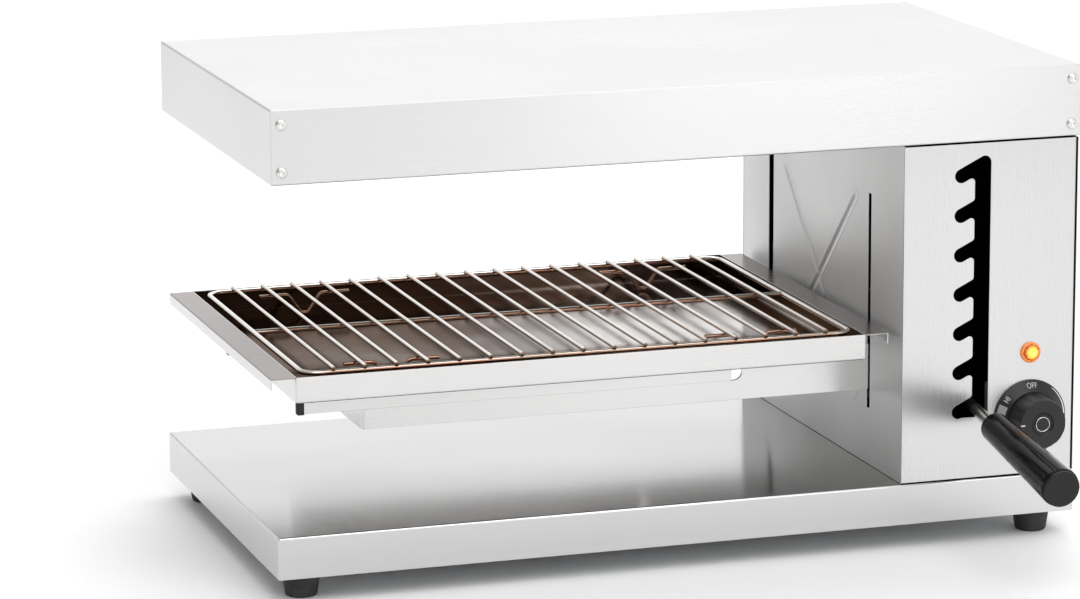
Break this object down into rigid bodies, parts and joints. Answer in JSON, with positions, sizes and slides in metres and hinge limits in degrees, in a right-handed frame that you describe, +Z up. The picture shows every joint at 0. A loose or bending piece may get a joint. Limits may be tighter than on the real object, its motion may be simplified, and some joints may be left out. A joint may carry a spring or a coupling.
{
  "type": "cheese melter",
  "caption": "Countertop melting grill: a hood with heating elements overhangs a rack and drip tray on arms, which a lever in a notched slot raises and lowers.",
  "frame": {"origin": "middle of the whole outline, lever and cable gland included, on the floor", "axes": "+X to the right as seen from the front, +Y to the back, +Z up"},
  "size_m": [0.6, 0.4938, 0.3485],
  "materials": {
    "housing_steel": "fine brushed stainless",
    "hood_steel": "bright satin stainless",
    "tray_steel": "satin, straw heat tint",
    "carrier_steel": "satin",
    "zinc_steel": "zinc plated",
    "guide_steel": "ground",
    "screw_steel": "polished",
    "rack_wire": "bright",
    "reflector_steel": "aluminised, satin",
    "element_tube": "dark, heat scaled",
    "bush_ceramic": "matte",
    "terminal_metal": "tinned",
    "grip_plastic": "glossy",
    "knob_plastic": "satin gloss",
    "dial_plastic": "satin, printed",
    "lamp_bezel": "glossy",
    "lamp_lens": "lit amber",
    "regulator_plastic": "matte",
    "block_plastic": "matte",
    "glide_plastic": "matte",
    "gland_plastic": "matte",
    "cap_plastic": "matte",
    "foot_rubber": "matte"
  },
  "bodies": {
    "root": {"base_pan": "housing_steel", "base_bottom_plate": "zinc_steel", "foot_front_left": "foot_rubber", "foot_front_right": "foot_rubber", "foot_back_left": "foot_rubber", "foot_back_right": "foot_rubber", "foot_screws": "screw_steel", "column_inner_wall": "housing_steel", "column_front_panel": "housing_steel", "column_side_cover": "housing_steel", "side_cover_screws": "screw_steel", "column_back_panel": "housing_steel", "back_panel_screws": "screw_steel", "hood_cover": "hood_steel", "hood_front_fascia": "hood_steel", "hood_fascia_screws": "screw_steel", "hood_underside": "housing_steel", "reflector": "reflector_steel", "heating_element_front": "element_tube", "heating_element_middle": "element_tube", "heating_element_back": "element_tube", "element_support_left": "zinc_steel", "element_support_right": "zinc_steel", "element_insulators": "bush_ceramic", "element_terminals": "terminal_metal", "guide_bracket_bottom": "zinc_steel", "guide_bracket_top": "zinc_steel", "guide_rod_front": "guide_steel", "guide_rod_back": "guide_steel", "guide_rod_screws": "screw_steel", "pivot_bracket": "zinc_steel", "pivot_shaft": "guide_steel", "shaft_clips": "screw_steel", "energy_regulator": "regulator_plastic", "dial_ring": "dial_plastic", "pilot_lamp_bezel": "lamp_bezel", "pilot_lamp_lens": "lamp_lens", "pilot_lamp_nut": "cap_plastic", "cable_gland": "gland_plastic", "gland_nut": "gland_plastic", "terminal_block": "block_plastic"},
    "carriage": {"carriage_plate": "zinc_steel", "slide_block_front": "glide_plastic", "slide_block_back": "glide_plastic", "lifting_bracket": "zinc_steel", "carriage_screws": "screw_steel", "carrier_frame": "carrier_steel", "shelf_bar_front": "carrier_steel", "shelf_bar_back": "carrier_steel", "bar_end_caps": "cap_plastic"},
    "sleeve": {"pivot_sleeve": "zinc_steel"},
    "lever": {"lever_hub": "zinc_steel", "lever_rod": "screw_steel", "lever_grip": "grip_plastic", "grip_end_cap": "grip_plastic"},
    "knob": {"control_knob": "knob_plastic", "regulator_shaft": "guide_steel"},
    "tray": {"drip_tray": "tray_steel"},
    "rack": {"wire_rack": "rack_wire", "rack_feet": "rack_wire"}
  },
  "joints": [
    {"name": "carriage_lift", "type": "slide", "parent": "root", "child": "carriage", "axis": [0, 0, 1], "range_m": [0, 0.10827]},
    {"name": "lever_shift", "type": "slide", "parent": "root", "child": "sleeve", "axis": [-1, 0, 0], "range_m": [-0.003, 0.015]},
    {"name": "lever_tilt", "type": "hinge", "parent": "sleeve", "child": "lever", "pos_m": [0.22285, 0.20494, 0.14376], "axis": [-1, 0, 0], "range_deg": [0, 31.74]},
    {"name": "knob_turn", "type": "hinge", "parent": "root", "child": "knob", "pos_m": [0.2636, -0.09506, 0.0911], "axis": [0, 1, 0], "range_deg": [-270, 45]},
    {"name": "tray_slide", "type": "slide", "parent": "carriage", "child": "tray", "axis": [0, -1, 0], "range_m": [0, 0.33]},
    {"name": "rack_lift", "type": "slide", "parent": "tray", "child": "rack", "axis": [0, 0, 1], "range_m": [0, 0.024]}
  ],
  "couplings": [
    {"joint": "lever_tilt", "follows": "carriage_lift", "rad_per_m": 5.1174}
  ]
}
